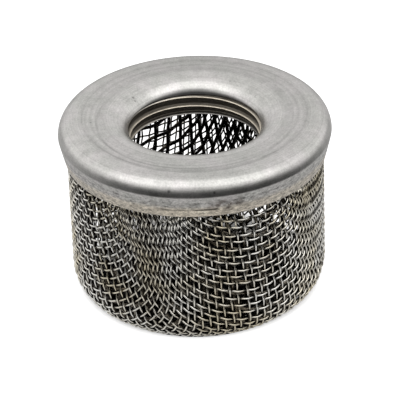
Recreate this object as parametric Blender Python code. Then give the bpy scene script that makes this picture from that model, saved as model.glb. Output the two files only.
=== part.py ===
"""Suction strainer: a stamped end cap crimped on two nested cups of drawn wire cloth.

Metres, +Z up. The origin is the middle of the bottom that the cup stands on.
The front of the strainer looks towards -Y, and azimuths are counted from there towards +X.
"""
from math import asin, atan2, ceil, cos, hypot, pi, radians, sin, sqrt

import bmesh
import bpy
from mathutils import Vector

MM = 0.001

# End cap, a stamping of one sheet
HEIGHT = 45.9 * MM             # from the cup's bottom to the cap's flat land
CAP_RADIUS = 31.75 * MM        # widest ring of the cap, 2.5 inches across
SHEET = 0.8 * MM               # sheet thickness
SHOULDER_RADIUS = 4.1 * MM     # outer rounding between the land and the skirt
SKIRT_LENGTH = 5.6 * MM        # from the widest ring down to the lip's lower edge
SKIRT_TAPER = 1.3 * MM         # how much the crimp draws the skirt in
LIP_HEIGHT = 1.5 * MM          # crimped lip below the crease
CREASE_DEPTH = 0.15 * MM       # how far the crease lies behind the skirt
MOUTH_RADIUS = 15.55 * MM      # crests of the thread, nominal 1 inch straight pipe
MOUTH_ROUNDING = 5.2 * MM      # rounding from the land down into the neck
NECK_LENGTH = 3.35 * MM        # straight stretch of the neck below the rounding
EDGE_ROUNDING = 0.25 * MM      # broken edges of the cut sheet

# Cups of wire cloth
CUP_RADIUS = 29.95 * MM        # outside of the fine cup's wall
CUP_CORNER = 8.5 * MM          # outside rounding between the wall and the bottom
FINE_WIRE = 0.4 * MM           # 12 wires to the inch
FINE_RIDGES = 7                # ridges from the bottom's middle to the rim, for about 30 wires
COARSE_WIRE = 0.65 * MM        # 6 wires to the inch
COARSE_RIDGES = 5              # ridges from the bottom's middle to the rim, for about 14 wires
WEAVE_TURN = radians(26.6)     # azimuth of the wires that run straight up the wall
CLOTH_GAP = 0.45 * MM          # between the two cloths
CRIMP_CLEARANCE = 0.3 * MM     # between the fine cloth and the cap
CRIMP_RUN = 1.6 * MM           # height over which the wall is drawn in below the lip
RIM_DROP = 0.4 * MM            # from the cap's widest ring down to the cloths' cut rims

# How a ridge and its gap share the cell, and how far drawing shears the cloth
OPEN_SHARE = 0.84              # width of a gap, over the pitch of the ridges
SPAN_SHARE = 0.5               # thickness of a ridge between two crossings, over that at a crossing
PIT_SHARE = 0.2                # thickness in the middle of a cell, over that at a crossing
DRAW_PACKING = 0.94            # shortening of the cloth up the wall
SEAM_LEAN = 0.25               # slope at which the wires lock beside a seam of the draw
OPEN_DIAGONAL = 0.4            # a cell with a diagonal below this share of the pitch is shut
CUT_DIAGONAL = 0.7             # the same for a cell that the rim cuts
LEFT_SHARE = 0.5               # a cell is shut where the rim leaves less of its height than this
SNAP = 0.15                    # share of the pitch within which a ridge's point moves onto the rim

# Facets
TURN_STEPS = 56
ARC_STEP = radians(22.5)
MERGE = 0.001 * MM
BISECTIONS = 40

SHOULDER_Z = HEIGHT - SHOULDER_RADIUS
LIP_Z = SHOULDER_Z - SKIRT_LENGTH
CREASE_Z = LIP_Z + LIP_HEIGHT
RIM_Z = SHOULDER_Z - RIM_DROP


def material(name, colour, roughness):
    mat = bpy.data.materials.new(name)
    mat.use_nodes = True
    shader = mat.node_tree.nodes["Principled BSDF"]
    shader.inputs["Base Color"].default_value = (*colour, 1.0)
    shader.inputs["Roughness"].default_value = roughness
    shader.inputs["Metallic"].default_value = 1.0
    mat.diffuse_color = (*colour, 1.0)
    return mat


def add_object(name, bm, mat, sharp_angle):
    mesh = bpy.data.meshes.new(name)
    bm.to_mesh(mesh)
    bm.free()
    mesh.materials.append(mat)
    mesh.shade_smooth()
    mesh.set_sharp_from_angle(angle=sharp_angle)
    obj = bpy.data.objects.new(name, mesh)
    bpy.context.scene.collection.objects.link(obj)
    return obj


def arc(centre, radius, start, end):
    """Points of an arc in the (radius, height) plane, both ends included."""
    steps = max(2, round(abs(end - start) / ARC_STEP))
    turn = (end - start) / steps
    return [(centre[0] + radius * cos(start + turn * i), centre[1] + radius * sin(start + turn * i))
            for i in range(steps + 1)]


def turn_between(start, end):
    """Signed angle from one azimuth to another, the short way round."""
    return (end - start + pi) % (2 * pi) - pi


def skirt_radius(z):
    """Outside radius of the skirt, which tapers from the widest ring to the lip."""
    return CAP_RADIUS - SKIRT_TAPER * (SHOULDER_Z - z) / SKIRT_LENGTH


def cap_section():
    """Closed section of the sheet: up the outside, over the land, down the neck and back inside."""
    shoulder = (CAP_RADIUS - SHOULDER_RADIUS, SHOULDER_Z)
    mouth = (MOUTH_RADIUS + MOUTH_ROUNDING, HEIGHT - MOUTH_ROUNDING)
    neck_z = mouth[1] - NECK_LENGTH
    neck_out = MOUTH_RADIUS + SHEET
    lip_out = skirt_radius(LIP_Z)
    lip_in = lip_out - SHEET
    edge = EDGE_ROUNDING
    section = [(lip_in, LIP_Z + edge), (lip_in + edge, LIP_Z), (lip_out - edge, LIP_Z)]
    section += [(lip_out, LIP_Z + edge), (lip_out, CREASE_Z - edge)]
    section += [(skirt_radius(CREASE_Z) - CREASE_DEPTH, CREASE_Z)]
    section += [(skirt_radius(CREASE_Z + edge), CREASE_Z + edge)]
    section += arc(shoulder, SHOULDER_RADIUS, 0.0, pi / 2)
    section += arc(mouth, MOUTH_ROUNDING, pi / 2, pi)
    section += [(MOUTH_RADIUS, neck_z + edge), (MOUTH_RADIUS + edge, neck_z)]
    section += [(neck_out - edge, neck_z), (neck_out, neck_z + edge)]
    section += arc(mouth, MOUTH_ROUNDING - SHEET, pi, pi / 2)
    section += arc(shoulder, SHOULDER_RADIUS - SHEET, pi / 2, 0.0)
    section += [(lip_in, CREASE_Z)]
    return section


def end_cap():
    bm = bmesh.new()
    section = [bm.verts.new((r, 0.0, z)) for r, z in cap_section()]
    edges = [bm.edges.new(pair) for pair in zip(section, section[1:] + section[:1])]
    bmesh.ops.spin(bm, geom=section + edges, cent=(0, 0, 0), axis=(0, 0, 1), dvec=(0, 0, 0),
                   angle=2 * pi, steps=TURN_STEPS, use_merge=True, use_duplicate=False)
    bmesh.ops.remove_doubles(bm, verts=bm.verts[:], dist=MERGE)
    bmesh.ops.recalc_face_normals(bm, faces=bm.faces[:])
    steel = material("satin_stainless_sheet", (0.60, 0.59, 0.57), 0.32)
    return add_object("end_cap", bm, steel, radians(40))


class Cup:
    """One drawn cloth: its middle surface, turned about Z, and how the flat cloth lies on it.

    A place on the middle surface is an azimuth and an arc length s from the middle of the bottom.
    """

    def __init__(self, inset, wire, ridges):
        self.inset = inset                       # from the fine cup's outside to this middle surface
        self.half = wire                         # half of the thickness where two wires cross
        self.radius = CUP_RADIUS - inset
        self.corner = CUP_CORNER - inset
        self.flat = self.radius - self.corner    # radius of the flat bottom
        self.wall_s = self.flat + self.corner * pi / 2
        self.net_top = self.wall_s + (LIP_Z - CRIMP_RUN) - (inset + self.corner)
        self.pitch = self.net_top / DRAW_PACKING / ridges

    def ring(self, s):
        """Radius, height and outward direction of the middle surface at the arc length s."""
        a = min(max((s - self.flat) / self.corner, 0.0), pi / 2)
        radius = min(s, self.flat) + self.corner * sin(a)
        height = self.inset + self.corner * (1 - cos(a)) + max(s - self.wall_s, 0.0)
        return radius, height, (sin(a), -cos(a))

    def point(self, azimuth, s):
        radius, z, _ = self.ring(s)
        return Vector((radius * sin(azimuth), -radius * cos(azimuth), z))

    def crimped_rings(self):
        """Rings from the wall's top in under the lip, and out to the cut rim inside the skirt."""
        seat = SHEET + CRIMP_CLEARANCE + self.inset
        rings = [(LIP_Z, skirt_radius(LIP_Z)), (CREASE_Z, skirt_radius(LIP_Z)), (RIM_Z, skirt_radius(RIM_Z))]
        return [(radius - seat, z) for z, radius in rings]

    def smile(self, t):
        """How far a wire at t from the middle has gone round the wall and up it, and its spare width."""
        reach = self.radius
        share = min(t / reach, 1.0)
        side = reach / 2 * (asin(share) + share * sqrt(1 - share * share))
        up = t * t / (2 * reach) if t < reach else t - reach / 2
        lock = reach * sqrt(1 - SEAM_LEAN * SEAM_LEAN)
        if t < lock:
            return side, up, 0.0
        lock_share = lock / reach
        lock_side = reach / 2 * (asin(lock_share) + lock_share * SEAM_LEAN)
        return side, up, SEAM_LEAN * (t - lock) - (side - lock_side)

    def drape(self, u, v):
        """Azimuth and arc length of the flat cloth's point at u and v along its two sets of wires.

        On the bottom the cloth stays flat. A wire that leaves the bottom to one side turns upright on
        the wall, and the wires that cross it hang there in smiles. The cells shear more and more
        towards the seam between two smiles, where the wires lock side by side and lean apart.
        """
        out = hypot(u, v)
        if out < self.radius:
            return WEAVE_TURN + atan2(v, u), DRAW_PACKING * out
        side_u, up_u, spare_u = self.smile(abs(u))
        side_v, up_v, spare_v = self.smile(abs(v))
        near_u = min(abs(u) / self.radius, 1.0) ** 2
        near_v = min(abs(v) / self.radius, 1.0) ** 2
        turn = pi / 4 + (side_v + spare_v * near_u - side_u - spare_u * near_v) / self.radius
        azimuth = atan2(sin(turn) * (1 if v >= 0 else -1), cos(turn) * (1 if u >= 0 else -1))
        return WEAVE_TURN + azimuth, DRAW_PACKING * (self.radius / 2 + up_u + up_v)


class Sheet:
    """A cloth's middle surface as faces over points that know their outward direction and thickness."""

    def __init__(self):
        self.points = []
        self.faces = []

    def add(self, azimuth, radius, z, outward, half):
        across = Vector((sin(azimuth), -cos(azimuth), 0.0))
        middle = radius * across + Vector((0.0, 0.0, z))
        normal = outward[0] * across + Vector((0.0, 0.0, outward[1]))
        self.points.append((middle, half * normal))
        return len(self.points) - 1

    def fan(self, outline, middle):
        self.faces += [(a, b, middle) for a, b in zip(outline, outline[1:] + outline[:1])]

    def strip(self, crest, foot):
        """Faces from a ridge's crest, of three points or more, down to the two ends of its foot."""
        bend = len(crest) // 2
        self.faces += [(a, b, foot[0]) for a, b in zip(crest[:bend], crest[1:bend + 1])]
        self.faces.append((crest[bend], foot[1], foot[0]))
        self.faces += [(a, b, foot[1]) for a, b in zip(crest[bend:], crest[bend + 1:])]

    def thicken(self):
        """The closed solid between the outside and the inside of the cloth."""
        bm = bmesh.new()
        outside = [bm.verts.new(middle + half) for middle, half in self.points]
        inside = [bm.verts.new(middle - half) for middle, half in self.points]
        uses = {}
        for face in self.faces:
            bm.faces.new([outside[i] for i in face])
            bm.faces.new([inside[i] for i in reversed(face)])
            for a, b in zip(face, face[1:] + face[:1]):
                uses.setdefault(frozenset((a, b)), []).append((a, b))
        for sides in uses.values():
            if len(sides) == 1:
                a, b = sides[0]
                bm.faces.new((outside[b], outside[a], inside[a], inside[b]))
        bmesh.ops.recalc_face_normals(bm, faces=bm.faces[:])
        return bm


class Net:
    """The ridges and gaps of one drawn cloth, cut off level at the wall's top.

    Keys are whole numbers of half pitches along the two sets of wires, so both even is a crossing.
    """

    def __init__(self, cup):
        self.cup = cup
        self.sheet = Sheet()
        self.known = {}
        self.lies = {}
        self.rim = {}

    def place(self, a, b):
        """Azimuth and arc length of a key, moved onto the rim where it lies within SNAP of it."""
        azimuth, s = self.cup.drape(a * self.cup.pitch / 2, b * self.cup.pitch / 2)
        if abs(s - self.cup.net_top) < SNAP * self.cup.pitch:
            s = self.cup.net_top
        return azimuth, s

    def side_of_rim(self, key):
        """1 above the rim, 0 on it and -1 below."""
        s = self.place(*key)[1]
        return (s > self.cup.net_top) - (s < self.cup.net_top)

    def add(self, azimuth, s, share):
        radius, z, outward = self.cup.ring(s)
        point = self.sheet.add(azimuth, radius, z, outward, share * self.cup.half)
        self.lies[point] = (azimuth, s)
        return point

    def add_rim(self, azimuth):
        point = self.add(azimuth, self.cup.net_top, 1.0)
        self.rim[point] = azimuth
        return point

    def ridge_point(self, key):
        """A point on a ridge: thick at a crossing and at the rim, thinner half way between."""
        if key not in self.known:
            azimuth, s = self.place(*key)
            crossing = key[0] % 2 == 0 and key[1] % 2 == 0
            on_rim = s == self.cup.net_top
            share = 1.0 if crossing else SPAN_SHARE
            self.known[key] = self.add_rim(azimuth) if on_rim else self.add(azimuth, s, share)
        return self.known[key]

    def cut_point(self, low, high):
        """The point where the ridge between two keys passes the rim."""
        name = (low, high)
        if name not in self.known:
            below, above = 0.0, 1.0
            for _ in range(BISECTIONS):
                share = (below + above) / 2
                u, v = [(p + share * (q - p)) * self.cup.pitch / 2 for p, q in zip(low, high)]
                azimuth, s = self.cup.drape(u, v)
                if s < self.cup.net_top:
                    below = share
                else:
                    above = share
            self.known[name] = self.add_rim(azimuth)
        return self.known[name]

    def outline(self, keys):
        """A cell's ridge points, cut off at the rim."""
        points = []
        for here, after in zip(keys, keys[1:] + keys[:1]):
            sides = self.side_of_rim(here), self.side_of_rim(after)
            if sides[0] <= 0:
                points.append(self.ridge_point(here))
            if sides == (-1, 1):
                points.append(self.cut_point(here, after))
            if sides == (1, -1):
                points.append(self.cut_point(after, here))
        return self.split_rim(points)

    def split_rim(self, points):
        """Adds points where a cell runs along the rim for more than a facet of the cap."""
        split = []
        for a, b in zip(points, points[1:] + points[:1]):
            split.append(a)
            if a in self.rim and b in self.rim:
                gap = turn_between(self.rim[a], self.rim[b])
                steps = max(1, round(abs(gap) / (2 * pi / TURN_STEPS)))
                split += [self.add_rim(self.rim[a] + gap * i / steps) for i in range(1, steps)]
        return split

    def cell(self, i, j):
        corners = [(2 * i, 2 * j), (2 * i + 2, 2 * j), (2 * i + 2, 2 * j + 2), (2 * i, 2 * j + 2)]
        keys = []
        for (a, b), (c, d) in zip(corners, corners[1:] + corners[:1]):
            keys += [(a, b), ((a + c) // 2, (b + d) // 2)]
        sides = [self.side_of_rim(key) for key in keys]
        if min(sides) >= 0:
            return
        outline = self.outline(keys)
        middle = (2 * i + 1, 2 * j + 1)
        diagonal = self.short_diagonal(corners)
        if max(sides) <= 0 and diagonal > OPEN_DIAGONAL * self.cup.pitch:
            self.gap(outline, corners, middle)
        elif max(sides) < 0:
            self.sheet.fan(outline, self.add(*self.place(*middle), PIT_SHARE))
        elif self.left_of(corners) > LEFT_SHARE and diagonal > CUT_DIAGONAL * self.cup.pitch:
            self.cut_gap(outline)
        elif len(outline) == 3:
            self.sheet.faces.append(tuple(outline))
        else:
            self.sheet.fan(outline, self.add(*self.middle(outline), SPAN_SHARE))

    def short_diagonal(self, corners):
        """The shorter of a cell's two diagonals, measured on the cup."""
        a, b, c, d = [self.cup.point(*self.place(*key)) for key in corners]
        return min((a - c).length, (b - d).length)

    def left_of(self, corners):
        """The share of a cell's height that the rim leaves of it."""
        heights = [self.place(*key)[1] for key in corners]
        return (self.cup.net_top - min(heights)) / (max(heights) - min(heights))

    def gap(self, outline, corners, middle):
        """The ridges round one gap, sloping from their crests down to its four corners."""
        hole = []
        for key in corners:
            u, v = [(m + OPEN_SHARE * (k - m)) * self.cup.pitch / 2 for k, m in zip(key, middle)]
            hole.append(self.add(*self.cup.drape(u, v), SPAN_SHARE))
        crossings = [outline.index(self.ridge_point(key)) for key in corners]
        for side in range(4):
            start, end = crossings[side], crossings[(side + 1) % 4]
            crest = outline[start:end + 1] if end > start else outline[start:] + outline[:end + 1]
            self.sheet.strip(crest, (hole[side], hole[(side + 1) % 4]))

    def cut_gap(self, outline):
        """The ridges round the gap of a cell that the rim cuts, down to a gap of the same outline."""
        azimuth, s = self.middle(outline)
        hole = []
        for point in outline:
            aside, up = turn_between(azimuth, self.lies[point][0]), self.lies[point][1] - s
            hole.append(self.add(azimuth + OPEN_SHARE * aside, s + OPEN_SHARE * up, SPAN_SHARE))
        sides = zip(outline, outline[1:] + outline[:1], hole[1:] + hole[:1], hole)
        self.sheet.faces += list(sides)

    def middle(self, outline):
        """Azimuth and arc length of the middle of an outline's points."""
        first = self.lies[outline[0]][0]
        aside = [turn_between(first, self.lies[point][0]) for point in outline]
        ways = [self.lies[point][1] for point in outline]
        return first + sum(aside) / len(aside), sum(ways) / len(ways)

    def build(self):
        cells = ceil(self.cup.net_top / DRAW_PACKING / self.cup.pitch) + 1
        for i in range(-cells, cells):
            for j in range(-cells, cells):
                self.cell(i, j)
        ring = sorted(self.rim, key=lambda point: self.rim[point] % (2 * pi))
        azimuths = [self.rim[point] for point in ring]
        for radius, z in self.cup.crimped_rings():
            above = [self.sheet.add(azimuth, radius, z, (1.0, 0.0), self.cup.half) for azimuth in azimuths]
            sides = zip(ring, ring[1:] + ring[:1], above[1:] + above[:1], above)
            self.sheet.faces += list(sides)
            ring = above
        return self.sheet.thicken()


def mesh_cup(name, cup, colour):
    return add_object(name, Net(cup).build(), material(name + "_wire", colour, 0.35), radians(3))


for old in list(bpy.data.objects):
    bpy.data.objects.remove(old, do_unlink=True)

end_cap()
fine_inset = FINE_WIRE
coarse_inset = fine_inset + FINE_WIRE + CLOTH_GAP + COARSE_WIRE
mesh_cup("outer_mesh_cup", Cup(fine_inset, FINE_WIRE, FINE_RIDGES), (0.52, 0.50, 0.46))
mesh_cup("inner_mesh_cup", Cup(coarse_inset, COARSE_WIRE, COARSE_RIDGES), (0.42, 0.40, 0.37))
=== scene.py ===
"""Suction strainer: its stamped cap, its two drawn wire cloths and the white table it stands on."""

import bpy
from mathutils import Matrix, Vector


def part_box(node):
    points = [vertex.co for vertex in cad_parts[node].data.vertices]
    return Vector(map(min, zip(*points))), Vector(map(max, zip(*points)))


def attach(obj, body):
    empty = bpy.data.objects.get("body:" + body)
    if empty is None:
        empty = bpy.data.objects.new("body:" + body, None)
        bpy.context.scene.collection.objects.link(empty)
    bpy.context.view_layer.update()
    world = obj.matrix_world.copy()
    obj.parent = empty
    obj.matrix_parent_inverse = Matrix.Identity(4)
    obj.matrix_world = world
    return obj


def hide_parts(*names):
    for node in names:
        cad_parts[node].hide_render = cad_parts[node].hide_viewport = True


bl_info = {
    "name": "Suction Strainer",
    "version": (1, 0, 0),
    "blender": (4, 5, 0),
    "location": "View3D > Sidebar > Strainer",
    "description": "Builds a stamped strainer cap and the woven wire cups that are crimped in it",
    "category": "Add Mesh",
}

from math import cos, pi, radians, sin, sqrt, tau

import bpy
import numpy as np
from bpy.props import FloatProperty, FloatVectorProperty, IntProperty, PointerProperty
from mathutils import Matrix

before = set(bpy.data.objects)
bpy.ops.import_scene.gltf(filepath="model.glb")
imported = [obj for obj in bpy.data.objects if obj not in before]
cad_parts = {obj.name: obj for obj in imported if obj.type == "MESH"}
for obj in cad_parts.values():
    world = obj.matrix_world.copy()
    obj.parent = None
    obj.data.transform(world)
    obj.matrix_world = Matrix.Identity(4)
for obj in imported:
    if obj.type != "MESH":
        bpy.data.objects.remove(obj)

MM = 0.001
INCH = 25.4 * MM
CAP_LOW, CAP_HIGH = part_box("end_cap")

# Lengths of the waves in which a wire strays from its place, as shares of the way round the cup
STRAY_WAVES = (0.9, 0.37, 0.16)

# Stretches at the front where the crease is deep: first and last degree, and how deep
DEEP_CREASES = ((-16, -3, 0.45), (-1, 8.5, 1.0))

# Rings that the press tool left on the land, in mm and degrees: how far the ring's middle lies to the
# front, its radius, half width, depth and shade, where it is deepest and how fast it fades from there
PRESS_RINGS = (
    (2.7, 22.65, 0.3, 0.025, 0.27, -25, 2),
    (2.6, 24.3, 0.4, 0.02, 0.2, 0, 4),
    (0.3, 20.9, 0.15, 0.012, 0.1, 0, 1),
    (0.0, 22.0, 0.5, 0.012, 0.08, 180, 1),
    (1.2, 25.2, 0.25, 0.012, 0.08, -70, 2),
)

# Shallow oval dent at the right of the land, in mm: its middle, its half widths and its depth
DENT_X, DENT_Y, DENT_HALF_X, DENT_HALF_Y, DENT_DEPTH = 17.6, 12.6, 1.75, 1.95, 0.05

# How much darker the painted shade in the thread and in the deep crease makes the steel, and how much
# lighter the painted highlights on the crests and below the crease make it
THREAD_SHADE_DARK, CREASE_PAINTED_SHADE = 0.88, 0.65
CREST_HIGHLIGHT, BELOW_CREASE_HIGHLIGHT = 0.15, 0.4
# The thread's crests are narrow and its roots wide
CREST_SHARPNESS = 7
CREASE_HALF_WIDTH, CREASE_SHADE_HALF_WIDTH = 0.16 * MM, 0.18 * MM
# The scuffs end between these heights above the table, and the land's shade begins between the others
SCUFFS_END = (40.6 * MM, 42.6 * MM)
LAND_SHADE_HEIGHTS, LAND_SHADE_RADII = (43.5 * MM, 45.5 * MM), (20.0 * MM, 23.0 * MM)
STAIN_Z, STAIN_HALF_HEIGHT = 39.2 * MM, 1.8 * MM

# Nearly all of a noise lies between these two
NOISE_LOW, NOISE_HIGH = 0.3, 0.7

# The stage: half the table's width, the disc of painted shade under the cup, the card round the front, and
# the softbox
TABLE_REACH = 3.0
SHADE_DISC_RADIUS, SHADE_DISC_Z = 24.0 * MM, 0.02 * MM
CARD_INNER, CARD_OUTER, CARD_Z, CARD_SPREAD = 0.085, 1.6, MM, radians(280)
SOFTBOX_PLACE, SOFTBOX_SIZE = (0.0, -0.45, 0.71), (2.2, 1.05)
SENSOR_WIDTH = 36.0
MATT = {"Roughness": 0.9, "Specular IOR Level": 0.0}


# Helpers for colours, settings and curves

def linear(hex_colour):
    """Linear red, green and blue of an sRGB hex colour."""
    parts = [int(hex_colour[i:i + 2], 16) / 255 for i in (1, 3, 5)]
    return [p / 12.92 if p <= 0.04045 else ((p + 0.055) / 1.055) ** 2.4 for p in parts]


WHITE = (*linear("#ffffff"), 1.0)


def length(name, description, size):
    return FloatProperty(name=name, description=description, default=size, unit="LENGTH")


def angle(name, description, degrees):
    return FloatProperty(name=name, description=description, default=radians(degrees), subtype="ANGLE")


def share(name, description, default):
    return FloatProperty(name=name, description=description, default=default, subtype="FACTOR")


def whole(name, description, default):
    return IntProperty(name=name, description=description, default=default)


def colour(name, description, hex_colour):
    return FloatVectorProperty(name=name, description=description, subtype="COLOR", size=3,
                               default=linear(hex_colour), min=0.0, max=1.0)


def smooth_step(low, high, value):
    t = np.clip((value - low) / (high - low), 0.0, 1.0)
    return t * t * (3 - 2 * t)


def bell(value, middle, half_width):
    return np.exp(-((value - middle) / half_width) ** 2)


def turn_to(azimuth, middle):
    """Signed angle from the middle to an azimuth, between -pi and pi."""
    return (azimuth - middle + pi) % tau - pi


def around(azimuth, middle, half_width):
    """1 at the middle azimuth, falling off to both sides."""
    return bell(turn_to(azimuth, middle), 0.0, half_width)


def arc(centre, radius, start, end, steps):
    turn = np.radians(np.linspace(start, end, steps + 1))
    return np.stack([centre[0] + radius * np.cos(turn), centre[1] + radius * np.sin(turn)], -1)


def line(start, end, steps):
    return np.linspace(start, end, steps + 1)


# Settings

class StrainerCap(bpy.types.PropertyGroup):
    """Sizes and colours of the stamped cap"""
    radius: length("Radius", "Widest ring of the cap", CAP_HIGH.x)
    height: length("Height", "From the table to the flat land", CAP_HIGH.z)
    lip_z: length("Lip height", "From the table to the lip's lower edge", CAP_LOW.z)
    sheet: length("Sheet", "Thickness of the stamped sheet", 0.8 * MM)
    shoulder: length("Shoulder", "Outer rounding between land and skirt", 4.1 * MM)
    taper: length("Taper", "How far the crimp draws the skirt in", 1.3 * MM)
    lip: length("Lip", "Height of the crimped lip below the crease", 2.15 * MM)
    crease_depth: length("Crease depth", "Depth of the crease above the lip", 0.16 * MM)
    mouth_rounding: length("Mouth rounding", "Rounding from the land down into the neck", 5.8 * MM)
    neck_z: length("Neck end", "Height of the neck's lower edge", 37.45 * MM)
    crest_radius: length("Thread crests", "Inner radius of the thread", 14.95 * MM)
    thread_pitch: length("Thread pitch", "One turn of the 1 inch straight pipe thread", INCH / 11.5)
    thread_depth: length("Thread depth", "From the crests out to the rolled roots", 0.85 * MM)
    crest_z: length("Crest height", "Height of the uppermost crest at the back", 41.86 * MM)
    steps: whole("Steps", "Points round the cap", 288)
    steel: colour("Steel", "Satin stainless sheet", "#c7c6c2")
    cloud_tint: colour("Cloud tint", "Faint violet tint that lies on the steel in clouds", "#c8c5c3")
    lip_tint: colour("Lip tint", "Warm tint along the lip", "#e6dccb")
    stain_tint: colour("Stain tint", "Brown heat stain on the skirt", "#6c645e")


class StrainerCup(bpy.types.PropertyGroup):
    """Sizes that the two cloths share"""
    radius: length("Radius", "Outside of the fine cup's wall", 29.95 * MM)
    corner: length("Corner", "Outside rounding between wall and bottom", 8.5 * MM)
    clearance: length("Clearance", "Between the fine cloth and the cap", 0.3 * MM)
    crimp_run: length("Crimp run", "Height over which the wall is drawn in below the lip", 1.6 * MM)
    rim_drop: length("Rim drop", "From the cap's widest ring down to the cut rims", 0.4 * MM)
    twist: angle("Twist", "How far the press turned the cloth from the wall's foot to its top", -7.2)
    packing: share("Packing", "Shortening of the cloth up the wall", 0.97)
    seam_lean: share("Seam lean", "Slope at which the wires lock beside a seam", 0.30)


class StrainerFineCloth(bpy.types.PropertyGroup):
    """The outer cloth"""
    wires_per_inch: whole("Wires per inch", "Wires to the inch", 13)
    turn: angle("Weave turn", "Azimuth of the wires that run straight up", 28.8)
    shift: length("Shift", "How far the weave lies off the cup's middle", 1.23 * MM)
    wire: length("Wire", "Thickness of the wire", 0.42 * MM)
    inset: length("Inset", "From the cup's outside to the cloth's middle", 0.42 * MM)
    steps: whole("Steps", "Points along a wire for each crossing", 4)
    sides: whole("Sides", "Sides of a wire's section", 6)
    wander: share("Wander", "How far a wire strays from its place, over the pitch", 0.07)
    steel: colour("Wire steel", "Drawn stainless wire, rubbed bright on its crowns", "#f8f6f0")
    straw: colour("Straw tint", "Warm tint that old oil leaves on the wire", "#ded5bf")
    # Painted shade: the colour of each fine wire's inner side and of where it passes under the next
    shade_colour: colour("Dulled steel", "Oxide and old oil where one wire dives under the next", "#24211b")


class StrainerCoarseCloth(bpy.types.PropertyGroup):
    """The inner cloth"""
    wires_per_inch: whole("Wires per inch", "Wires to the inch", 6)
    turn: angle("Weave turn", "Azimuth of the wires that run straight up", 38.0)
    shift: length("Shift", "How far the weave lies off the cup's middle", 0.0)
    wire: length("Wire", "Thickness of the wire", 0.85 * MM)
    inset: length("Inset", "From the cup's outside to the cloth's middle", 1.9 * MM)
    steps: whole("Steps", "Points along a wire for each crossing", 6)
    sides: whole("Sides", "Sides of a wire's section", 8)
    wander: share("Wander", "How far a wire strays from its place, over the pitch", 0.05)
    # Painted shade: the same drawn steel as the fine cloth, painted darker as it lies inside the cup
    steel: colour("Wire steel", "Thicker drawn wire, dulled by its oxide", "#8d877c")
    straw: colour("Straw tint", "Warm tint that old oil leaves on the wire", "#6f6657")
    # Painted shade: the colour of each coarse wire's inner side and of where it passes under the next
    shade_colour: colour("Dulled steel", "Oxide and old oil on the side that the oil flows past", "#1d1a16")


class StrainerStage(bpy.types.PropertyGroup):
    """Camera, table and light"""
    elevation: angle("Elevation", "Camera above the table", 30.78)
    roll: angle("Roll", "Lean of the camera", -2.03)
    distance: length("Distance", "Camera to the strainer", 700 * MM)
    focus_z: length("Aim height", "Height that the camera looks at", 20 * MM)
    lens: FloatProperty(name="Lens", description="Focal length on a 36 mm sensor", default=267.53)
    shift: FloatVectorProperty(name="Shift", description="Shift of the lens to the right and up", size=2,
                               default=(0.006, 0.02475))
    table: colour("Table", "White table", "#f4f4f4")
    # The black of the disc of painted shade under the cup, and of the card's dark end
    shade_sheet: colour("Paper", "Black paper, and the dark end of the card", "#1c1c1d")
    card: colour("Card", "White end of the card", "#f0f0f0")
    glow: share("Table glow", "How much the open table shines to the camera", 0.85)
    metal_glow: share("Glow in metal", "Share of the table's glow that the metal sees", 0.12)
    glow_back: length("Glow's middle", "How far behind the cup the dull patch has its middle", 5 * MM)
    glow_from: length("Glow from", "Radius of the dull patch", 26 * MM)
    glow_to: length("Glow to", "Radius from which the table glows fully", 30 * MM)
    softbox_power: FloatProperty(name="Softbox", description="Power of the overhead softbox", default=6.1,
                                 unit="POWER")
    soft_light: share("Soft light", "Even light that the world gives", 0.3)
    room_front: share("Room in front", "How bright the room in front is to the metal", 0.05)
    room_behind: share("Room behind", "How bright the room behind is to the metal", 0.62)
    ceiling: share("Ceiling", "How bright the middle of the ceiling is to the metal", 0.88)
    ceiling_sides: share("Ceiling's sides", "How much brighter the ceiling is at its sides", 0.28)


# How a drawn cloth lies

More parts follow.
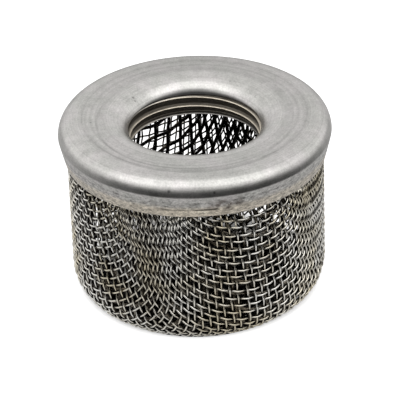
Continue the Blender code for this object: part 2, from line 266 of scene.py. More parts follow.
class Drape:
    """One cloth of the cup: where its wires lie, from the middle of the bottom to the cut rim."""

    def __init__(self, cup, cloth, cap):
        self.cup = cup
        self.turn = cloth.turn
        self.reach = cup.radius - cloth.inset
        self.pitch = INCH / cloth.wires_per_inch
        # More wires to each side of the middle than the cup can hold
        self.most = int(3.0 * self.reach / self.pitch) + 1
        corner = cup.corner - cloth.inset
        flat = self.reach - corner
        seat = cap.sheet + cup.clearance + cloth.inset
        shoulder_z = cap.height - cap.shoulder
        rim_z = shoulder_z - cup.rim_drop
        crimped = cap.radius - cap.taper - seat
        rim_radius = cap.radius - cap.taper * cup.rim_drop / (shoulder_z - cap.lip_z) - seat
        wall_top = (self.reach, cap.lip_z - cup.crimp_run)
        bottom_steps = 24
        pieces = [line((0.0, cloth.inset), (flat, cloth.inset), bottom_steps)[:-1],
                  arc((flat, cup.corner), corner, -90, 0, 32)[:-1],
                  line((self.reach, cup.corner), wall_top, 40)[:-1],
                  line(wall_top, (crimped, cap.lip_z), 8)[:-1],
                  line((crimped, cap.lip_z), (crimped, cap.lip_z + cap.lip), 8)[:-1],
                  line((crimped, cap.lip_z + cap.lip), (rim_radius, rim_z), 16)]
        section = np.concatenate(pieces)
        # Rounds off the bends a little
        for _ in range(3):
            section[1:-1] = (section[:-2] + 2 * section[1:-1] + section[2:]) / 4
        steps = np.hypot(*np.diff(section, axis=0).T)
        self.way = np.concatenate([[0.0], np.cumsum(steps)])
        # Way to the wall's foot, half up the rounding, and to the wall's top
        self.foot, self.top = np.interp([cup.corner / 3, cap.lip_z], section[bottom_steps:, 1],
                                        self.way[bottom_steps:])
        self.section = section
        self.slope = np.gradient(section, self.way, axis=0)

    def round_and_up(self, t):
        """How far a wire at t from the middle has gone round the wall and up it, and its spare width."""
        lean = self.cup.seam_lean
        part = np.minimum(t / self.reach, 1.0)
        side = self.reach / 2 * (np.arcsin(part) + part * np.sqrt(1 - part * part))
        up = np.where(t < self.reach, t * t / (2 * self.reach), t - self.reach / 2)
        # Beside a seam the wires lock at their greatest lean, and the width that is left over spreads out
        lock_part = sqrt(1 - lean * lean)
        lock = self.reach * lock_part
        lock_side = self.reach / 2 * (np.arcsin(lock_part) + lock_part * lean)
        return side, up, np.where(t < lock, 0.0, lean * (t - lock) - (side - lock_side))

    def place(self, u, v):
        """Azimuth and way from the bottom's middle of the flat cloth's point at u and v."""
        out = np.hypot(u, v)
        side_u, up_u, spare_u = self.round_and_up(np.abs(u))
        side_v, up_v, spare_v = self.round_and_up(np.abs(v))
        near_u = np.minimum(np.abs(u) / self.reach, 1.0) ** 2
        near_v = np.minimum(np.abs(v) / self.reach, 1.0) ** 2
        turn = pi / 4 + (side_v + spare_v * near_u - side_u - spare_u * near_v) / self.reach
        azimuth = np.arctan2(np.sin(turn) * np.where(v < 0, -1, 1), np.cos(turn) * np.where(u < 0, -1, 1))
        on_bottom = out < self.reach
        azimuth = np.where(on_bottom, np.arctan2(v, u), azimuth)
        way = self.cup.packing * np.where(on_bottom, out, self.reach / 2 + up_u + up_v)
        past_foot = (way - self.foot) / (self.top - self.foot)
        twisted = self.cup.twist * past_foot * np.minimum(way / self.foot, 1.0) ** 2
        return self.turn + azimuth + twisted, way

    def on_cloth(self, u, v):
        """Points of the cloth's middle surface, and its outward directions there."""
        azimuth, way = self.place(u, v)
        radius, z = [np.interp(way, self.way, self.section[:, i]) for i in (0, 1)]
        slope_r, slope_z = [np.interp(way, self.way, self.slope[:, i]) for i in (0, 1)]
        across = np.stack([np.sin(azimuth), -np.cos(azimuth)], -1)
        points = np.concatenate([across * radius[:, None], z[:, None]], -1)
        outward = np.concatenate([across * slope_z[:, None], -slope_r[:, None]], -1)
        return points, outward / np.linalg.norm(outward, axis=1)[:, None]


def wire_line(drape, cloth, number, is_warp, rng):
    """Middle line of one wire, the cloth's outward directions and the wire's lift, or None off the cup.

    The wire passes outside every other wire that it crosses, and strays a little from its place.
    """
    pitch = drape.pitch
    along, across = (cloth.shift, 0.0) if is_warp else (0.0, cloth.shift)
    place = (number + 0.5) * pitch + across
    far = drape.most * cloth.steps
    t = np.arange(-far, far + 1) * pitch / cloth.steps + along
    waves = rng.uniform(0.0, tau, len(STRAY_WAVES))
    stray = sum(np.sin(t / (drape.reach * part) + wave) for part, wave in zip(STRAY_WAVES, waves))
    aside = place + cloth.wander * pitch * stray
    u, v = (t, aside) if is_warp else (aside, t)
    way = drape.place(u, v)[1]
    end = drape.way[-1]
    inside = np.flatnonzero(way < end)
    if len(inside) < 3:
        return None
    # The two ends are cut where the wire reaches the rim
    first, last = inside[0], inside[-1]
    low = t[first] - (t[first] - t[first - 1]) * (end - way[first]) / (way[first - 1] - way[first])
    high = t[last] + (t[last + 1] - t[last]) * (end - way[last]) / (way[last + 1] - way[last])
    kept = np.concatenate([[low], t[first:last + 1], [high]])
    aside = np.interp(kept, t, aside)
    u, v = (kept, aside) if is_warp else (aside, kept)
    points, outward = drape.on_cloth(u, v)
    side = 1 if (number % 2 == 0) == is_warp else -1
    lift = side * cloth.wire / 2 * np.sin(pi * (kept - along) / pitch)
    return points + outward * lift[:, None], outward, lift


def tube(points, outward, lift, wire, sides):
    """Rings of a wire's surface, and how far outside the cloth's middle each point is, over the wire."""
    along = np.gradient(points, axis=0)
    across = np.cross(along, outward)
    across /= np.linalg.norm(across, axis=1)[:, None]
    outward = np.cross(across, along)
    outward /= np.linalg.norm(outward, axis=1)[:, None]
    turns = np.arange(sides) * tau / sides
    ring = np.cos(turns)[None, :, None] * outward[:, None] \
        + np.sin(turns)[None, :, None] * across[:, None]
    return points[:, None] + wire / 2 * ring, lift[:, None] / wire + np.cos(turns) / 2


def mesh_from(name, points, quads, ends=()):
    """A mesh of smooth quads, with flat end faces where a wire is cut."""
    mesh = bpy.data.meshes.new(name)
    faces = quads.tolist() + list(ends)
    mesh.from_pydata(points, [], faces)
    smooth = np.ones(len(faces), bool)
    smooth[len(quads):] = False
    mesh.polygons.foreach_set("use_smooth", smooth)
    mesh.update()
    return mesh


def store(mesh, name, values):
    """Keeps one number for each of the mesh's points, which the material reads by its name."""
    layer = mesh.attributes.new(name, "FLOAT", "POINT")
    layer.data.foreach_set("value", np.asarray(values, np.float32).reshape(-1))


def new_object(name, mesh, material):
    mesh.materials.append(material)
    made = bpy.data.objects.new(name, mesh)
    bpy.context.scene.collection.objects.link(made)
    return made


def add_piece(name, mesh, material, slot, *nodes):
    """Adds a piece of the strainer in place of nodes of the solid model."""
    piece = new_object(name, mesh, material)
    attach(piece, "root")
    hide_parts(*nodes)
    return piece


def weave(name, drape, cloth, is_warp, seed):
    """All the wires of one cloth that run the same way."""
    rng = np.random.default_rng(seed)
    points, crowns, quads, ends, start = [], [], [], [], 0
    steps = np.arange(cloth.sides)
    after = (steps + 1) % cloth.sides
    for number in range(-drape.most, drape.most):
        laid = wire_line(drape, cloth, number, is_warp, rng)
        if laid is None:
            continue
        rings, crown = tube(*laid, cloth.wire, cloth.sides)
        base = start + np.arange(len(rings) - 1)[:, None] * cloth.sides
        quads.append(np.stack([base + steps, base + after, base + cloth.sides + after,
                               base + cloth.sides + steps], -1).reshape(-1, 4))
        last = start + (len(rings) - 1) * cloth.sides
        ends += [(start + steps[::-1]).tolist(), (last + steps).tolist()]
        points.append(rings.reshape(-1, 3))
        crowns.append(crown.reshape(-1))
        start += rings.shape[0] * cloth.sides
    mesh = mesh_from(name, np.concatenate(points), np.concatenate(quads), ends)
    store(mesh, "crown", np.concatenate(crowns))
    return mesh


# Materials

def add_node(tree, kind, inputs=None, **settings):
    """Adds a node, sets it, and sets or links its inputs."""
    made = tree.nodes.new("ShaderNode" + kind)
    for name, value in settings.items():
        setattr(made, name, value)
    for name, value in (inputs or {}).items():
        if isinstance(value, bpy.types.NodeSocket):
            tree.links.new(value, made.inputs[name])
        else:
            made.inputs[name].default_value = value
    return made


def new_material(name, values):
    """A material, its nodes and its shader, with what is the same all over set on the shader."""
    mat = bpy.data.materials.new(name)
    mat.use_nodes = True
    shader = mat.node_tree.nodes["Principled BSDF"]
    for socket, value in values.items():
        shader.inputs[socket].default_value = value
    return mat, mat.node_tree, shader


def pit_places(cap):
    """Small pits in the steel: where each one is on the surface, its radius and how dark it is."""
    shoulder = (cap.radius - cap.shoulder, cap.height - cap.shoulder, cap.shoulder)
    mouth = (cap.crest_radius + cap.mouth_rounding, cap.height - cap.mouth_rounding, cap.mouth_rounding)
    pits = [((-23.89 * MM, -2.54 * MM, cap.height), 0.28 * MM, 0.4)]
    # The rounding that a pit is on, its azimuth and tilt in degrees, its radius in mm and how dark it is
    for (out, up, rounding), azimuth, tilt, size, dark in (
            (shoulder, -11.5, 22.5, 0.36, 0.6),
            (shoulder, 7.0, 16.5, 0.32, 0.6),
            (mouth, -126.5, 123.0, 0.32, 0.5),
            (mouth, -125.5, 132.0, 0.28, 0.45),
            (mouth, 151.5, 114.5, 0.26, 0.25),
            (mouth, 123.5, 125.5, 0.26, 0.25)):
        r = out + rounding * cos(radians(tilt))
        z = up + rounding * sin(radians(tilt))
        a = radians(azimuth)
        pits.append(((r * sin(a), -r * cos(a), z), size * MM, dark))
    return pits


def satin_stamped_stainless(cap):
    """Stainless sheet, stamped and tumbled: a soft satin with turned streaks, stains and a warm lip."""
    mat, tree, shader = new_material("satin_stamped_stainless", {"Metallic": 1.0})
    place = add_node(tree, "TexCoord").outputs["Object"]
    split = add_node(tree, "SeparateXYZ", {"Vector": place}).outputs
    flat = add_node(tree, "CombineXYZ", {"X": split["X"], "Y": split["Y"]}).outputs[0]
    radius = add_node(tree, "VectorMath", {0: flat}, operation="LENGTH").outputs["Value"]
    # The first of these darkens the steel: real pits, press rings and the dent, and painted shade and
    # painted highlights in the thread, along the crease and on the land
    marks_and_shade, skirt, lip, stain = [add_node(tree, "Attribute", attribute_name=name).outputs["Fac"]
                                for name in ("marks_and_shade", "skirt", "lip", "stain")]
    # The turned streaks vary along the radius and hardly round it, and the rollers' scuffs are half as
    # high as they are long
    turned = add_node(tree, "CombineXYZ", {"X": radius, "Y": split["Z"]}).outputs[0]
    dragged = add_node(tree, "VectorMath", {0: place, 1: (1.0, 1.0, 2.0)}, operation="MULTIPLY").outputs[0]
    rings, grain, blots, clouds, scuffs = [
        add_node(tree, "TexNoise", {"Vector": at, "Scale": scale, "Detail": detail,
                                    "Roughness": rough}).outputs["Fac"]
        for at, scale, detail, rough in (
            # Turned streaks, 0.6 mm apart and finer
            (turned, 1600.0, 4.0, 0.7),
            # Satin grain of the tumbling, drawn 0.4 mm wide so that it shows
            (place, 2400.0, 3.0, 0.65),
            # Blots of dulled steel, 2 mm
            (place, 480.0, 4.0, 0.6),
            # Cloudy stains, 6 mm
            (place, 160.0, 4.0, 0.55),
            # Scuffs that the crimping rollers dragged round the skirt, 1.2 mm long
            (dragged, 850.0, 5.0, 0.75))]
    tone = 1.0
    for pattern, darkest, lightest in ((clouds, -0.08, 0.08), (rings, -0.17, 0.17),
                                       (grain, -0.14, 0.14), (blots, -0.11, 0.09)):
        part = add_node(tree, "MapRange", {"Value": pattern, "From Min": NOISE_LOW,
                                           "From Max": NOISE_HIGH, "To Min": darkest, "To Max": lightest})
        tone = add_node(tree, "Math", {0: tone, 1: part.outputs[0]}, operation="ADD").outputs[0]
    # The scuffs are real, and they also darken the skirt as a whole: painted shade where it mirrors the
    # shaded table
    scuffed_and_shaded = add_node(tree, "MapRange", {"Value": scuffs, "From Min": 0.34, "From Max": 0.62,
                                          "To Min": -0.62, "To Max": 0.28})
    tone = add_node(tree, "Math", {0: scuffed_and_shaded.outputs[0], 1: skirt, 2: tone},
                    operation="MULTIPLY_ADD").outputs[0]
    # Each pit is dark up to 0.4 of its radius and has faded out at 1.3 of it
    dark = marks_and_shade
    for middle, size, darkest in pit_places(cap):
        away = add_node(tree, "VectorMath", {0: place, 1: middle}, operation="DISTANCE")
        pit = add_node(tree, "MapRange", {"Value": away.outputs["Value"], "From Min": 0.4 * size,
                                          "From Max": 1.3 * size, "To Min": darkest, "To Max": 0.0})
        dark = add_node(tree, "Math", {0: dark, 1: pit.outputs[0]}, operation="ADD").outputs[0]
    left = add_node(tree, "Math", {0: 1.0, 1: dark}, operation="SUBTRACT").outputs[0]
    tone = add_node(tree, "Math", {0: tone, 1: left}, operation="MULTIPLY").outputs[0]
    # The steel is faintly violet in clouds and warm along the lip, and its heat stain is blotchy
    clouded = add_node(tree, "MapRange", {"Value": clouds, "From Min": 0.42, "From Max": 0.6}).outputs[0]
    blotch = add_node(tree, "MapRange", {"Value": blots, "From Min": 0.38, "From Max": 0.6}).outputs[0]
    stained = add_node(tree, "Math", {0: stain, 1: blotch}, operation="MULTIPLY").outputs[0]
    tinted = (*cap.steel, 1.0)
    for factor, tint in ((clouded, cap.cloud_tint), (lip, cap.lip_tint), (stained, cap.stain_tint)):
        tinted = add_node(tree, "Mix", {"Factor": factor, "A": tinted, "B": (*tint, 1.0)},
                          data_type="RGBA").outputs["Result"]
    shaded = add_node(tree, "VectorMath", {0: tinted, "Scale": tone}, operation="SCALE")
    tree.links.new(shaded.outputs[0], shader.inputs["Base Color"])
    rough = add_node(tree, "MapRange", {"Value": clouds, "From Min": NOISE_LOW, "From Max": NOISE_HIGH,
                                        "To Min": 0.30, "To Max": 0.38})
    rougher = add_node(tree, "Math", {0: lip, 1: 0.1, 2: rough.outputs[0]}, operation="MULTIPLY_ADD")
    tree.links.new(rougher.outputs[0], shader.inputs["Roughness"])
    # The grain and the streaks are cut into the steel, and the rollers left the skirt slightly uneven
    rolled = add_node(tree, "Math", {0: scuffs, 1: skirt}, operation="MULTIPLY").outputs[0]
    relief = {}
    for height, strength, depth in ((grain, 0.35, 0.02), (rings, 0.35, 0.02), (rolled, 0.4, 0.05)):
        bump = add_node(tree, "Bump", {"Strength": strength, "Distance": depth * MM, "Height": height,
                                       **relief})
        relief = {"Normal": bump.outputs["Normal"]}
    tree.links.new(relief["Normal"], shader.inputs["Normal"])
    return mat


def drawn_stainless_wire(name, cloth):
    """Woven drawn wire, painted light on its outer side and painted shade on its inner side and crossings.
    """
    mat, tree, shader = new_material(name, {"Metallic": 1.0})
    place = add_node(tree, "TexCoord").outputs["Object"]
    crown = add_node(tree, "Attribute", attribute_name="crown").outputs["Fac"]
    # Painted light and shade: a wire is light on its outer side where it lies on top, and takes the shade
    # colour on its inner side and where it passes under the next wire
    lightened = add_node(tree, "MapRange", {"Value": crown, "From Min": -0.05, "From Max": 0.3},
                      interpolation_type="SMOOTHSTEP").outputs[0]
    # Patches of oxide, 3 mm
    patches = add_node(tree, "TexNoise", {"Vector": place, "Scale": 330.0, "Detail": 3.0,
                                          "Roughness": 0.6}).outputs["Fac"]
    clean = add_node(tree, "MapRange", {"Value": patches, "From Min": 0.38, "From Max": 0.62,
                                        "To Min": 1.0, "To Max": 0.9}).outputs[0]
    bright = add_node(tree, "Math", {0: lightened, 1: clean}, operation="MULTIPLY").outputs[0]
    # Old oil tints the wires in drifts, 10 mm
    drifts = add_node(tree, "TexNoise", {"Vector": place, "Scale": 100.0, "Detail": 2.0}).outputs["Fac"]
    darker_share = add_node(tree, "MapRange", {"Value": drifts, "From Min": 0.4, "From Max": 0.62}).outputs[0]
    steel = add_node(tree, "Mix", {"Factor": darker_share, "A": (*cloth.steel, 1.0), "B": (*cloth.straw, 1.0)},
                     data_type="RGBA").outputs["Result"]
    tint = add_node(tree, "Mix", {"Factor": bright, "A": (*cloth.shade_colour, 1.0), "B": steel},
                    data_type="RGBA").outputs["Result"]
    tree.links.new(tint, shader.inputs["Base Color"])
    rough = add_node(tree, "MapRange", {"Value": patches, "From Min": NOISE_LOW, "From Max": NOISE_HIGH,
                                        "To Min": 0.12, "To Max": 0.22})
    tree.links.new(rough.outputs[0], shader.inputs["Roughness"])
    return mat


def white_table(stage):
    """White laminate table: matt, and glowing white to the camera outside a patch round the strainer's
    foot.
    """
    mat, tree, shader = new_material("white_laminate_table", {**MATT, "Emission Color": WHITE})
    path = add_node(tree, "LightPath").outputs
    white = add_node(tree, "Mix", {"Factor": path["Is Camera Ray"], "A": (*stage.table, 1.0), "B": WHITE},
                     data_type="RGBA")
    tree.links.new(white.outputs["Result"], shader.inputs["Base Color"])
    # It glows to the camera outside that patch, and a little to the metal, which mirrors the glow as
    # painted light
    split = add_node(tree, "SeparateXYZ", {"Vector": add_node(tree, "TexCoord").outputs["Object"]}).outputs
    flat = add_node(tree, "CombineXYZ", {"X": split["X"], "Y": split["Y"]}).outputs[0]
    away = add_node(tree, "VectorMath", {0: flat, 1: (0.0, stage.glow_back, 0.0)}, operation="DISTANCE")
    open_table = add_node(tree, "MapRange", {"Value": away.outputs["Value"], "From Min": stage.glow_from,
                                             "From Max": stage.glow_to, "To Max": stage.glow})
    seen = add_node(tree, "Math", {0: path["Is Glossy Ray"], 1: stage.metal_glow,
                                   2: path["Is Camera Ray"]}, operation="MULTIPLY_ADD")
    glow = add_node(tree, "Math", {0: seen.outputs[0], 1: open_table.outputs[0]}, operation="MULTIPLY")
    tree.links.new(glow.outputs[0], shader.inputs["Emission Strength"])
    return mat


def matt_black_shade(stage):
    """Matt black sheet that stands in for the shade under the strainer: painted shade."""
    return new_material("matt_black_shade", {**MATT, "Base Color": (*stage.shade_sheet, 1.0)})[0]


def graded_matt_card(stage):
    """Matt card that runs from black in front to white behind, lighter at the left.

    It gives the metal the dark room that it mirrors low in front.
    """
    mat, tree, shader = new_material("graded_matt_card", MATT)
    place = add_node(tree, "TexCoord").outputs["Object"]
    way = add_node(tree, "VectorMath", {0: place}, operation="NORMALIZE").outputs["Vector"]
    split = add_node(tree, "SeparateXYZ", {"Vector": way}).outputs
    behind = add_node(tree, "Math", {0: split["X"], 1: -0.2, 2: split["Y"]}, operation="MULTIPLY_ADD")
    grade = add_node(tree, "MapRange", {"Value": behind.outputs[0], "From Min": -0.8, "From Max": 0.8},
                     interpolation_type="SMOOTHSTEP")
    shade = add_node(tree, "Mix", {"Factor": grade.outputs[0], "A": (*stage.shade_sheet, 1.0),
                                   "B": (*stage.card, 1.0)}, data_type="RGBA")
    tree.links.new(shade.outputs["Result"], shader.inputs["Base Color"])
    return mat


# The stamped cap

def cap_section(cap):
    """Closed section of the sheet, and which of its points are on the outside and in the neck."""
    # The sheet's cut edges are slightly rounded
    edge = 0.25 * MM
    # Degree of the mouth's rounding from which the steps are finer, for the thread's run-out
    threaded = 150
    shoulder_z = cap.height - cap.shoulder
    crease_z = cap.lip_z + cap.lip
    lip_out = cap.radius - cap.taper
    lip_in = lip_out - cap.sheet
    crease_out = cap.radius - cap.taper * (shoulder_z - crease_z) / (shoulder_z - cap.lip_z)
    shoulder = (cap.radius - cap.shoulder, shoulder_z)
    bore, back = cap.crest_radius, cap.crest_radius + cap.sheet
    mouth = (bore + cap.mouth_rounding, cap.height - cap.mouth_rounding)
    inner = cap.mouth_rounding - cap.sheet
    runs = [
        (False, arc((lip_in + edge, cap.lip_z + edge), edge, 180, 270, 3)),
        (False, arc((lip_out - edge, cap.lip_z + edge), edge, 270, 360, 3)),
        (True, line((lip_out, cap.lip_z + edge), (crease_out, crease_z), 14)),
        (True, line((crease_out, crease_z), (cap.radius, shoulder_z), 20)),
        (True, arc(shoulder, cap.shoulder, 0, 90, 24)),
        (True, line((shoulder[0], cap.height), (mouth[0], cap.height), 56)),
        (True, arc(mouth, cap.mouth_rounding, 90, threaded, 20)),
        (True, arc(mouth, cap.mouth_rounding, threaded, 180, 32)),
        (False, line((bore, mouth[1]), (bore, cap.neck_z + edge), 36)),
        (False, arc((bore + edge, cap.neck_z + edge), edge, 180, 270, 3)),
        (False, arc((back - edge, cap.neck_z + edge), edge, 270, 360, 3)),
        (False, line((back, cap.neck_z + edge), (back, mouth[1]), 24)),
        (False, arc(mouth, inner, 180, threaded, 14)),
        (False, arc(mouth, inner, threaded, 90, 6)),
        (False, line((mouth[0], cap.height - cap.sheet), (shoulder[0], cap.height - cap.sheet), 2)),
        (False, arc(shoulder, cap.shoulder - cap.sheet, 90, 0, 8)),
        (False, line((cap.radius - cap.sheet, shoulder_z), (lip_in, cap.lip_z + edge), 4)),
    ]
    section = np.concatenate([points[:-1] for _, points in runs])
    outside = np.concatenate([np.full(len(points) - 1, side) for side, points in runs])
    return section, outside, section[:, 0] < mouth[0]


def turned_quads(steps, count):
    """Quads between the points of a closed section that is turned all the way round."""
    here = np.arange(steps)[:, None] * count + np.arange(count)
    right = np.roll(here, -1, 0)
    return np.stack([here, right, np.roll(right, -1, 1), np.roll(here, -1, 1)], -1).reshape(-1, 4)


def rolled_thread(cap, a, z, neck):
    """How far each point is rolled, how near a crest it lies and how dark it is.

    The crests climb to the left, as a right-hand thread's do. A painted highlight lies along the crests.
    Painted shade darkens the roots, and a painted dark reflection lies above the thread at the back.
    """
    phase = (z - cap.crest_z) / cap.thread_pitch - (a - pi) / tau
    crest = (0.5 + 0.5 * np.cos(phase * tau)) ** CREST_SHARPNESS
    # The thread runs out just above its uppermost crest and just above the neck's edge
    rolled = neck * (1 - smooth_step(cap.crest_z + 0.05 * MM, cap.crest_z + 0.65 * MM, z)) \
        * smooth_step(cap.neck_z + 0.1 * MM, cap.neck_z + 0.7 * MM, z)
    lightened = neck * crest ** 2 * (z < cap.crest_z + cap.thread_pitch / 2)
    # The painted shade ends 0.3 mm above the uppermost crest in front, and 2.3 mm above it at the back
    back = around(a, pi, 1.0)
    darker_share = (neck - lightened) * smooth_step(cap.neck_z, cap.neck_z + 0.4 * MM, z) \
        * (1 - smooth_step(back * MM, (0.3 + 2.0 * back) * MM, z - cap.crest_z))
    return rolled, crest, THREAD_SHADE_DARK * darker_share - CREST_HIGHLIGHT * lightened


def deep_crease(a):
    """How much of its full depth the crease has at each azimuth, above the faint line all round."""
    ahead = turn_to(a, 0)
    deep = 0
    for first, last, depth in DEEP_CREASES:
        deep = deep + depth * smooth_step(radians(first - 3), radians(first + 2), ahead) \
            * (1 - smooth_step(radians(last - 1), radians(last + 1), ahead))
    return deep


def press_land(a, x, y, z, on_land, marks_and_shade):
    """Heights of the land once the press rings and the dent are in it, and the tone they give it."""
    for ahead, ring, width, sunk, shade, deepest, fade in PRESS_RINGS:
        off = np.hypot(x, y + ahead * MM) - ring * MM
        facing = (0.5 + 0.5 * np.cos(a - radians(deepest))) ** fade
        pressed = on_land * bell(off, 0.0, width * MM) * facing
        z = z - sunk * MM * pressed
        marks_and_shade = marks_and_shade + shade * pressed
    # The dent is dark round its edge and light in its middle
    away = np.hypot((x - DENT_X * MM) / (DENT_HALF_X * MM), (y - DENT_Y * MM) / (DENT_HALF_Y * MM))
    z = z - on_land * DENT_DEPTH * MM * (1 - smooth_step(0.7, 1.1, away))
    marks_and_shade = marks_and_shade + on_land * (0.07 * bell(away, 1.0, 0.2) - 0.04 * (1 - smooth_step(0.7, 0.9, away)))
    return z, marks_and_shade


def stamped_cap_mesh(cap):
    """The cap turned round, with its rolled thread, press rings, crease and a shallow dent."""
    section, outside, neck = cap_section(cap)
    radius = np.repeat(section[None, :, 0], cap.steps, 0)
    z = np.repeat(section[None, :, 1], cap.steps, 0)
    a = np.repeat((np.arange(cap.steps) * tau / cap.steps)[:, None], len(section), 1)
    rolled, crest, marks_and_shade = rolled_thread(cap, a, z, neck)
    radius += rolled * cap.thread_depth * (1 - crest)
    # Crease above the lip, with painted shade where it is deep, and a painted highlight just below it in
    # front
    crease_z = cap.lip_z + cap.lip
    deep = deep_crease(a)
    creased = outside * bell(z, crease_z, CREASE_HALF_WIDTH)
    radius -= cap.crease_depth * (0.15 + 0.85 * deep) * creased
    marks_and_shade = marks_and_shade + CREASE_PAINTED_SHADE * deep * outside * bell(z, crease_z, CREASE_SHADE_HALF_WIDTH)
    marks_and_shade -= BELOW_CREASE_HIGHLIGHT * outside * around(a, 0.0, radians(11)) \
        * bell(z, crease_z - 0.55 * MM, 0.3 * MM)
    x, y = radius * np.sin(a), -radius * np.cos(a)
    on_land = outside * smooth_step(cap.height - 0.4 * MM, cap.height - 0.2 * MM, z)
    z, marks_and_shade = press_land(a, x, y, z, on_land, marks_and_shade)
    mesh = mesh_from("stamped_cap", np.stack([x, y, z], -1).reshape(-1, 3),
                     turned_quads(cap.steps, len(section)))
    # Painted shade: the land is a little darker all round, darker still at the back and not at all at the
    # left
    dimmed = 0.08 + 0.10 * around(a, pi, 1.0) - 0.08 * around(a, -pi / 2, 0.8)
    store(mesh, "marks_and_shade", marks_and_shade + dimmed * outside * smooth_step(*LAND_SHADE_HEIGHTS, z)
          * smooth_step(*LAND_SHADE_RADII, radius))
    # The crimping rollers left scuffs on the skirt up to the shoulder, and the same mask paints the skirt
    # darker there as shade
    on_skirt = outside * (1 - neck)
    store(mesh, "skirt", on_skirt * (1 - smooth_step(*SCUFFS_END, z)))
    # The lip is warmest in front. The thread has the same tint
    lip = on_skirt * (1 - smooth_step(crease_z - 0.3 * MM, crease_z + 1.3 * MM, z)) \
        * (0.65 + 0.35 * around(a, radians(-4), radians(28)))
    store(mesh, "lip", np.maximum(lip, rolled))
    # Heat stained the skirt in front, most of all a little to the right
    heated = around(a, radians(12.5), radians(6)) + 0.35 * around(a, 0.0, 1.2)
    store(mesh, "stain", on_skirt * heated * bell(z, STAIN_Z, STAIN_HALF_HEIGHT))
    return mesh


# Stage pieces

def stage_piece(name, points, faces, material):
    mesh = bpy.data.meshes.new(name)
    mesh.from_pydata(points, [], faces)
    piece = new_object(name, mesh, material)
    return piece


def flat_square(reach):
    return [(-reach, -reach, 0), (reach, -reach, 0), (reach, reach, 0), (-reach, reach, 0)], [(0, 1, 2, 3)]


def flat_disc(radius, z, steps=96):
    turns = [tau * i / steps for i in range(steps)]
    return [(radius * cos(t), radius * sin(t), z) for t in turns], [tuple(range(steps))]


def flat_fan(inner, outer, z, spread, steps=48):
    """Points and faces of a flat part of a ring, which spreads to both sides of the front."""
    turns = [spread * (i / steps - 0.5) for i in range(steps + 1)]
    points = [(r * sin(t), -r * cos(t), z) for r in (inner, outer) for t in turns]
    return points, [(i, steps + 1 + i, steps + 2 + i, i + 1) for i in range(steps)]


# Operators

class STRAINER_OT_cap(bpy.types.Operator):
    """Add the stamped cap with its rolled thread"""
    bl_idname = "strainer.cap"
    bl_label = "Stamped Cap"

    def execute(self, context):
        cap = context.scene.strainer_cap
        add_piece("stamped_cap", stamped_cap_mesh(cap), satin_stamped_stainless(cap), "cap_steel",
                  "end_cap")
        return {"FINISHED"}


class STRAINER_OT_cloths(bpy.types.Operator):
    """Weave the fine and the coarse cloth and draw them into cups"""
    bl_idname = "strainer.cloths"
    bl_label = "Wire Cloths"

    def execute(self, context):
        scene = context.scene
        seed = 1
        for name, cloth, slot, node in (
                ("fine", scene.strainer_fine, "fine_wire", "outer_mesh_cup"),
                ("coarse", scene.strainer_coarse, "coarse_wire", "inner_mesh_cup")):
            drape = Drape(scene.strainer_cup, cloth, scene.strainer_cap)
            steel = drawn_stainless_wire(f"drawn_stainless_{name}_wire", cloth)
            for way, is_warp in (("warp", True), ("weft", False)):
                piece_name = f"{name}_{way}_wires"
                add_piece(piece_name, weave(piece_name, drape, cloth, is_warp, seed), steel, slot, node)
                seed += 1
        return {"FINISHED"}


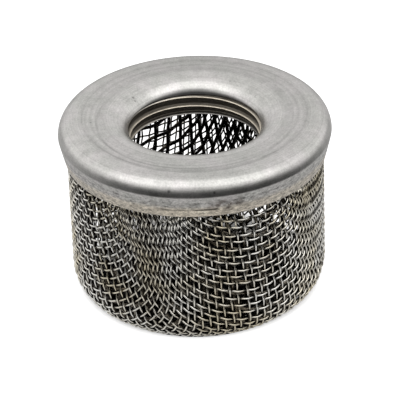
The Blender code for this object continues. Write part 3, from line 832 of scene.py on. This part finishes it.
class STRAINER_OT_stage(bpy.types.Operator):
    """Set up the white table, the soft light and the camera"""
    bl_idname = "strainer.stage"
    bl_label = "Stage"

    def execute(self, context):
        scene = context.scene
        stage = scene.strainer_stage
        stage_piece("table", *flat_square(TABLE_REACH), white_table(stage))
        # A black disc of painted shade under the strainer's foot
        stage_piece("painted_shade_disc", *flat_disc(SHADE_DISC_RADIUS, SHADE_DISC_Z), matt_black_shade(stage))
        card = stage_piece("table_card", *flat_fan(CARD_INNER, CARD_OUTER, CARD_Z, CARD_SPREAD),
                           graded_matt_card(stage))
        card.visible_camera = False
        card.visible_diffuse = False
        card.visible_shadow = False
        self.softbox(scene, stage)
        self.world(scene, stage)
        self.camera(scene, stage)
        scene.view_settings.view_transform = "Standard"
        return {"FINISHED"}

    def softbox(self, scene, stage):
        """A wide flat lamp that faces the strainer from above."""
        data = bpy.data.lights.new("softbox", "AREA")
        data.shape = "RECTANGLE"
        data.size, data.size_y = SOFTBOX_SIZE
        data.energy = stage.softbox_power
        lamp = bpy.data.objects.new("softbox", data)
        lamp.location = SOFTBOX_PLACE
        lamp.rotation_euler = (np.arctan2(-SOFTBOX_PLACE[1], SOFTBOX_PLACE[2]), 0, 0)
        lamp.visible_camera = False
        scene.collection.objects.link(lamp)

    def world(self, scene, stage):
        """White backdrop for the camera, and a plain soft light. The metal sees a dark room in front."""
        world = bpy.data.worlds.new("white_studio")
        world.use_nodes = True
        tree = world.node_tree
        path = add_node(tree, "LightPath").outputs
        place = add_node(tree, "TexCoord").outputs["Generated"]
        way = add_node(tree, "SeparateXYZ", {"Vector": place}).outputs
        walls = add_node(tree, "MapRange", {"Value": way["Y"], "From Min": -0.6, "From Max": 0.75,
                                            "To Min": stage.room_front, "To Max": stage.room_behind},
                         interpolation_type="SMOOTHSTEP").outputs[0]
        # The ceiling comes down lower behind the strainer than in front of it, and lowest at its sides
        aside = add_node(tree, "Math", {0: way["X"]}, operation="ABSOLUTE").outputs[0]
        lower = add_node(tree, "Math", {0: aside, 1: 0.4, 2: way["Z"]}, operation="MULTIPLY_ADD")
        tilt = add_node(tree, "Math", {0: way["Y"], 1: 0.3, 2: lower.outputs[0]},
                        operation="MULTIPLY_ADD")
        above = add_node(tree, "MapRange", {"Value": tilt.outputs[0], "From Min": 0.4, "From Max": 0.66},
                         interpolation_type="SMOOTHSTEP").outputs[0]
        ceiling = add_node(tree, "Math", {0: aside, 1: stage.ceiling_sides, 2: stage.ceiling},
                           operation="MULTIPLY_ADD").outputs[0]
        room = add_node(tree, "Mix", {"Factor": above, "A": walls, "B": ceiling}).outputs["Result"]
        # The metal sees the room, the camera sees white, and all else gets the soft light
        lit = add_node(tree, "Mix", {"Factor": path["Is Glossy Ray"], "A": stage.soft_light,
                                     "B": room}).outputs["Result"]
        level = add_node(tree, "Mix", {"Factor": path["Is Camera Ray"], "A": lit,
                                       "B": 1.0}).outputs["Result"]
        backdrop = tree.nodes["Background"].inputs
        backdrop["Color"].default_value = WHITE
        tree.links.new(level, backdrop["Strength"])
        scene.world = world

    def camera(self, scene, stage):
        """A long lens that looks down at the strainer from the front."""
        data = bpy.data.cameras.new("camera")
        data.sensor_width = SENSOR_WIDTH
        data.lens = stage.lens
        data.shift_x, data.shift_y = stage.shift
        data.clip_start = 0.01
        camera = bpy.data.objects.new("camera", data)
        e = stage.elevation
        place = (0.0, -stage.distance * cos(e), stage.focus_z + stage.distance * sin(e))
        camera.matrix_world = (Matrix.Translation(place) @ Matrix.Rotation(pi / 2 - e, 4, "X")
                               @ Matrix.Rotation(stage.roll, 4, "Z"))
        scene.collection.objects.link(camera)
        scene.camera = camera


# Sidebar and registration

class STRAINER_PT_sidebar(bpy.types.Panel):
    """Strainer pieces and their settings"""
    bl_label = "Strainer"
    bl_idname = "STRAINER_PT_sidebar"
    bl_space_type = "VIEW_3D"
    bl_region_type = "UI"
    bl_category = "Strainer"

    def draw(self, context):
        layout = self.layout
        scene = context.scene
        for operator, groups in (
                (STRAINER_OT_cap, (scene.strainer_cap,)),
                (STRAINER_OT_cloths, (scene.strainer_cup, scene.strainer_fine, scene.strainer_coarse)),
                (STRAINER_OT_stage, (scene.strainer_stage,))):
            layout.operator(operator.bl_idname)
            for group in groups:
                box = layout.box()
                for name in group.__annotations__:
                    box.prop(group, name)


SETTINGS = {"strainer_cap": StrainerCap, "strainer_cup": StrainerCup, "strainer_fine": StrainerFineCloth,
            "strainer_coarse": StrainerCoarseCloth, "strainer_stage": StrainerStage}
CLASSES = (*SETTINGS.values(), STRAINER_OT_cap, STRAINER_OT_cloths, STRAINER_OT_stage,
           STRAINER_PT_sidebar)


def register():
    for cls in CLASSES:
        bpy.utils.register_class(cls)
    for name, group in SETTINGS.items():
        setattr(bpy.types.Scene, name, PointerProperty(type=group))


def unregister():
    for name in SETTINGS:
        delattr(bpy.types.Scene, name)
    for cls in reversed(CLASSES):
        bpy.utils.unregister_class(cls)


def main():
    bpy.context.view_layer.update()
    register()
    bpy.ops.strainer.cap()
    bpy.ops.strainer.cloths()
    bpy.ops.strainer.stage()


if __name__ == "__main__":
    main()
